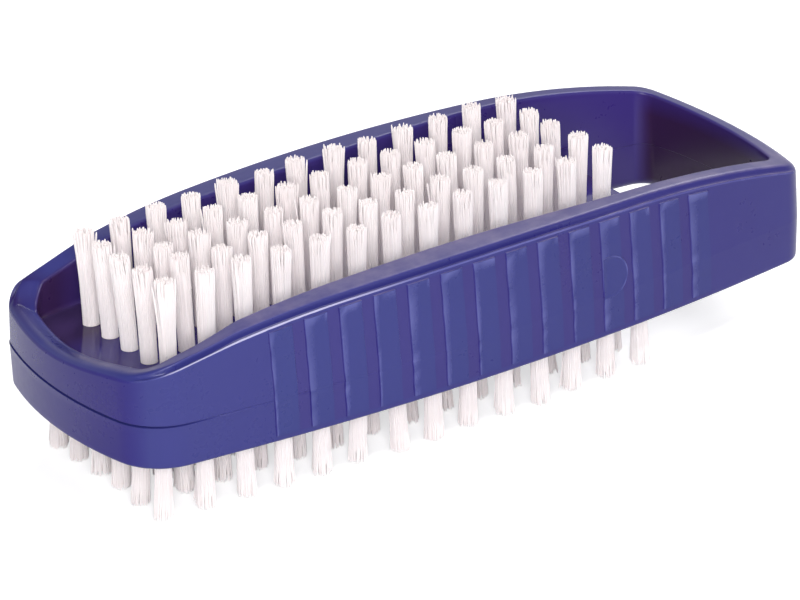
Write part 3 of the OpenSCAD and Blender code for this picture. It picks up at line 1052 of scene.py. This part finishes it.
def wall_colour(n, x, cloud, facing_x):
    """Walls: bluer ribs and more violet grooves, with painted shade darker toward the slot's end
    and painted shade on faces turned toward the plate's end."""
    finish = n.attribute("finish")
    # painted shade: each tone darkens toward the slot's end
    along = n.mapped(x, -0.045, 0.03)
    colour, rib, groove = [n.blend(along, *tones)
                           for tones in (WALL_TONES, RIB_TONES, GROOVE_TONES)]
    colour = n.blend(n.mapped(finish, 0, 1, 0, FINISH_SHARE), colour, rib)
    colour = n.blend(n.mapped(finish, 0, -1, 0, FINISH_SHARE), colour, groove)
    colour = n.blend(n.mapped(cloud, 0.35, 0.65, 0, 0.2), colour, CLOUD_TONE)
    # painted shade on faces turned toward -X, such as the plate's end
    return n.blend(n.mapped(facing_x, -0.7, -0.95, 0, 0.9), colour, END_WALL_SHADE)


def rim_colour(n, colour, rim, patch, x, y):
    """The rim: painted shade around the back of the plate's end, a patchy painted sheen along the
    front.
    """
    # painted shade on the rim at the back of the plate's end
    closed = n.times(n.mapped(x, -0.040, -0.0445, 0, 0.95), n.mapped(y, -0.004, 0.004))
    colour = n.blend(n.times(rim, closed), colour, END_RIM_SHADE)
    # painted sheen: a patchy lilac highlight on the band's top, at the front toward the plate's end
    painted_sheen = n.times(rim, n.mapped(patch, 0.38, 0.62, 0.18, 0.52))
    painted_sheen = n.times(painted_sheen, n.mapped(x, -0.044, -0.030))
    painted_sheen = n.times(painted_sheen, n.mapped(y, -0.002, -0.011, 0.12, 1))
    return n.blend(painted_sheen, colour, RIM_SHEEN_TONE)


def inner_colour(n, colour, plate, facing_x, spot):
    """Inside the ring, all painted shade: more violet walls, dark ends, and the plate, darker to
    its back.
    """
    inner = n.attribute("inner")
    # painted shade on the inner ends: faces turned toward -X or +X, deeper down, and all toward the
    # plate's end
    ends = n.number("MAXIMUM", n.mapped(facing_x, -0.3, -0.9), n.mapped(facing_x, 0.3, 0.9, 0, 0.5))
    ends = n.times(ends, n.mapped(spot["Z"], 0.0198, 0.0178, 0.45, 1))
    ends = n.number("MAXIMUM", ends, n.mapped(spot["X"], -0.033, -0.040, 0, 0.9))
    # painted shade: a violet tint over the inner faces
    colour = n.blend(n.times(inner, INNER_SHADE_SHARE), colour, INNER_SHADE_TONE)
    colour = n.blend(n.times(ends, inner), colour, INNER_END_SHADE)
    # painted shade on the plate, darker toward its back
    tone = n.blend(n.mapped(spot["Y"], 0.006, 0.002), PLATE_BACK_SHADE, PLATE_FRONT_TONE)
    return n.blend(n.times(plate, inner), colour, tone)


def blue_plastic():
    """Satin moulded plastic: bluer on the ribs, more violet in the grooves, with painted highlights
    along edges, patchy roughness and painted sheen on the rim, painted shade inside the ring and a
    smoother plate."""
    n = Nodes(bpy.data.materials.new("blue_plastic"))
    where = n.spot()
    spot = n.split(where)
    facing = n.split(n.put("NewGeometry").outputs["Normal"])
    edge = n.attribute("edge")
    rim = n.times(n.mapped(facing["Z"], 0.5, 0.9), n.mapped(spot["Z"], 0.0175, 0.0185))
    plate = n.times(n.mapped(facing["Z"], 0.8, 0.95), n.mapped(spot["Z"], 0.0168, 0.0164))
    cloud, grain = n.noise(where, 90, 4), n.noise(where, 1300, 2)
    patch = n.noise(where, 240, 4, 0.65)
    colour = wall_colour(n, spot["X"], cloud, facing["X"])
    colour = rim_colour(n, colour, rim, patch, spot["X"], spot["Y"])
    colour = inner_colour(n, colour, plate, facing["X"], spot)
    # painted highlight along the edges
    colour = n.blend(n.mapped(edge, 0.1, 1, 0, 0.55), colour, EDGE_HIGHLIGHT)
    # painted highlight line on the ledge
    colour = n.blend(n.mapped(edge, 1, 2, 0, 0.85), colour, LEDGE_HIGHLIGHT)
    rough = n.number("ADD", n.mapped(cloud, 0.3, 0.7, 0.27, 0.33),
                     n.mapped(grain, 0.3, 0.7, -0.02, 0.02))
    rough = n.number("SUBTRACT", rough, n.times(plate, 0.25))
    rough = n.number("ADD", rough, n.times(rim, n.mapped(patch, 0.3, 0.7, 0, 0.1)))
    rough = n.number("SUBTRACT", rough, n.times(edge, 0.12))
    bump = n.bump(grain, 0.00001, 0.3)
    bump = n.bump(n.noise(where, 420, 3), 0.00004, 0.25, bump)
    n.set(Base_Color=colour, Roughness=rough, Specular_IOR_Level=0.32, Normal=bump)
    return n.owner


def white_bristle():
    """Nylon filament, a little see-through, with a slightly different tone in each."""
    n = Nodes(bpy.data.materials.new("white_bristle"))
    streak = n.noise(n.spot(), 1500, 2)
    colour = n.blend(n.mapped(n.attribute("shade"), -1, 1),
                     (0.93, 0.865, 0.868), (0.965, 0.915, 0.915))
    colour = n.blend(n.mapped(streak, 0.4, 0.7, 0, 0.3), colour, (0.92, 0.865, 0.865))
    n.set(Base_Color=colour, Roughness=n.mapped(streak, 0.3, 0.7, 0.32, 0.45),
          Diffuse_Roughness=1.0, Normal=n.bump(streak, 0.00001, 0.4),
          Sheen_Weight=0.25, Sheen_Roughness=0.4, Sheen_Tint=(1.0, 0.97, 0.96),
          Subsurface_Weight=0.2, Subsurface_Scale=0.0003)
    n.shader.inputs["Subsurface Radius"].default_value = (1.0, 0.9, 0.85)
    return n.owner


def anchor_steel():
    """Drawn wire of the tuft anchors, with fine lengthwise scratches."""
    n = Nodes(bpy.data.materials.new("anchor_steel"))
    stretch = n.put("Mapping")
    stretch.inputs["Scale"].default_value = (0.08, 1, 1)
    n.link(n.spot(), stretch.inputs["Vector"])
    scratch = n.noise(stretch.outputs[0], 5200, 4)
    colour = n.blend(n.mapped(scratch, 0.35, 0.65), (0.50, 0.50, 0.49), (0.64, 0.63, 0.61))
    n.set(Base_Color=colour, Roughness=n.mapped(scratch, 0.3, 0.7, 0.28, 0.44), Metallic=1.0,
          Normal=n.bump(scratch, 0.00001, 0.5))
    return n.owner


def seen_directly(n):
    """1 for rays of the camera and through glass, less for mirrors, else 0."""
    path = n.put("LightPath").outputs
    seen = n.number("MAXIMUM", path["Is Camera Ray"], n.times(path["Is Glossy Ray"], 0.6))
    return n.number("MAXIMUM", seen, path["Is Transmission Ray"])


def floor():
    """A plain white floor that keeps a soft shadow of the object."""
    bpy.ops.mesh.primitive_plane_add(size=FLOOR_SIZE)
    plane = bpy.context.object
    plane.name = "floor"
    n = Nodes(bpy.data.materials.new("floor_white"))
    n.set(Base_Color=(0.8, 0.8, 0.8), Roughness=0.9, Specular_IOR_Level=0.0,
          Emission_Color=(1, 1, 1), Emission_Strength=n.times(seen_directly(n), FLOOR_LIFT))
    plane.data.materials.append(n.owner)


def world():
    """White to the camera; its light is weaker from above, with a pale strip in mirrors."""
    n = Nodes(bpy.data.worlds.new("studio"))
    z = n.split(n.put("TexCoord").outputs["Generated"])["Z"]
    path = n.put("LightPath").outputs
    lit = n.mapped(z, 0.1, 0.6, SKY_LOW, SKY_HIGH)
    strip = n.times(n.mapped(z, 0.22, 0.34), n.mapped(z, 0.66, 0.5))
    mirrored = n.number("MAXIMUM", path["Is Glossy Ray"], path["Is Transmission Ray"])
    light = n.number("ADD", lit, n.times(mirrored, n.times(strip, SKY_STRIP)))
    back = n.tree.nodes["Background"]
    n.feed(back.inputs["Strength"], n.number("MAXIMUM", light, path["Is Camera Ray"]))
    n.feed(back.inputs["Color"], (1, 1, 1))
    bpy.context.scene.world = n.owner


def lamp(name, azimuth, elevation, width, height, power):
    """An oval area lamp that points at the brush."""
    data = bpy.data.lights.new(name, "AREA")
    data.shape = "ELLIPSE"
    data.size, data.size_y = width, height
    data.energy = power
    a, e = math.radians(azimuth), math.radians(elevation)
    aim = Vector((0, 0, AIM_HEIGHT))
    away = Vector((math.cos(e) * math.cos(a), math.cos(e) * math.sin(a), math.sin(e)))
    piece = bpy.data.objects.new(name, data)
    piece.location = aim + away * LAMP_DISTANCE
    piece.rotation_euler = (-away).to_track_quat("-Z", "Y").to_euler()
    bpy.context.scene.collection.objects.link(piece)


def camera():
    """A long lens, level with the brush's length at a slant and looking down on it."""
    data = bpy.data.cameras.new("camera")
    data.sensor_width = CAMERA_SENSOR
    data.lens = CAMERA_LENS
    data.clip_end = CAMERA_CLIP
    eye = bpy.data.objects.new("camera", data)
    turned = Matrix((CAMERA_RIGHT, -CAMERA_DOWN, -CAMERA_AHEAD)).transposed().to_4x4()
    eye.matrix_world = Matrix.Translation(CAMERA_PLACE) @ turned
    bpy.context.scene.collection.objects.link(eye)
    bpy.context.scene.camera = eye


def main():
    plastic, nylon, steel = blue_plastic(), white_bristle(), anchor_steel()
    body = place("brush_frame", body_mesh(), plastic, "blue_plastic")
    place("moulding_mark", mark_mesh(), plastic, "blue_plastic")
    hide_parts("brush_body")
    for side, word, up in ((UPPER, "upper", True), (LOWER, "lower", False)):
        for row in range(side["rows"]):
            name = f"{word}_bristles_row_{row + 1}"
            seed = SEED + row + UPPER_SEED * up
            piece = place(name, row_mesh(name, side, row, up, seed), nylon, "white_bristle")
            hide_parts(f"{word}_tuft_row_{row + 1}")
    for name, node in frame["nodes"].items():
        if "anchor" in name:
            node.data.materials.clear()
            node.data.materials.append(steel)
    floor()
    world()
    for values in LAMPS:
        lamp(*values)
    camera()
    bpy.context.scene.view_settings.view_transform = "Standard"


main()
